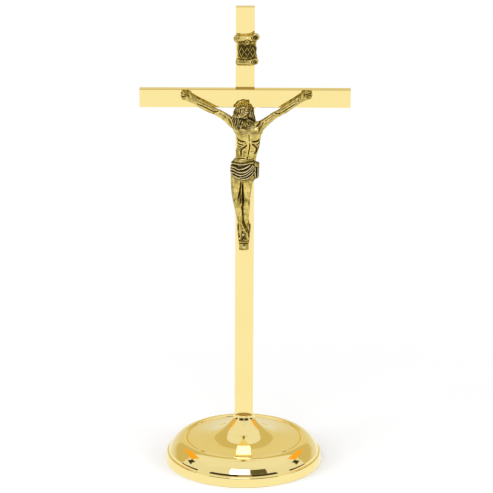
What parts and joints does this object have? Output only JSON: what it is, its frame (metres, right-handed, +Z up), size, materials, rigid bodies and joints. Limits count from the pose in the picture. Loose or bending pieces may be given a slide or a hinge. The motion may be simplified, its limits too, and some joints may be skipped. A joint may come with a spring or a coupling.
{
  "type": "standing cross",
  "caption": "Standing altar cross: flat polished brass bars on a weighted spun brass base, with an antiqued cast figure and a small cast scroll.",
  "frame": {"origin": "centre of the underside of the felt pad, on the surface that the cross stands on", "axes": "+Z up along the upright bar, +X to the viewer's right along the crossbar, and the figure faces -Y"},
  "size_m": [0.169, 0.1278, 0.388],
  "materials": {
    "polished_brass": "mirror polished and lacquered",
    "antique_brass": "cast, darkened in the recesses and rubbed bright on the high parts",
    "weight": "rough cast",
    "cover": "matt",
    "felt": "pressed felt",
    "steel": "plain zinc plated"
  },
  "bodies": {
    "root": {"base_shell": "polished_brass", "base_weight": "weight", "bottom_cover": "cover", "felt_pad": "felt", "stem_stud": "steel", "stem_washer": "steel", "stem_nut": "steel", "upright_bar": "polished_brass", "cross_bar": "polished_brass", "crossing_screw_upper": "steel", "crossing_screw_lower": "steel", "titulus_scroll": "antique_brass", "scroll_rivet_upper": "polished_brass", "scroll_rivet_lower": "polished_brass", "corpus": "antique_brass", "hand_nail_left": "antique_brass", "hand_nail_right": "antique_brass", "foot_nail": "antique_brass", "tab_rivet": "antique_brass"}
  },
  "joints": []
}
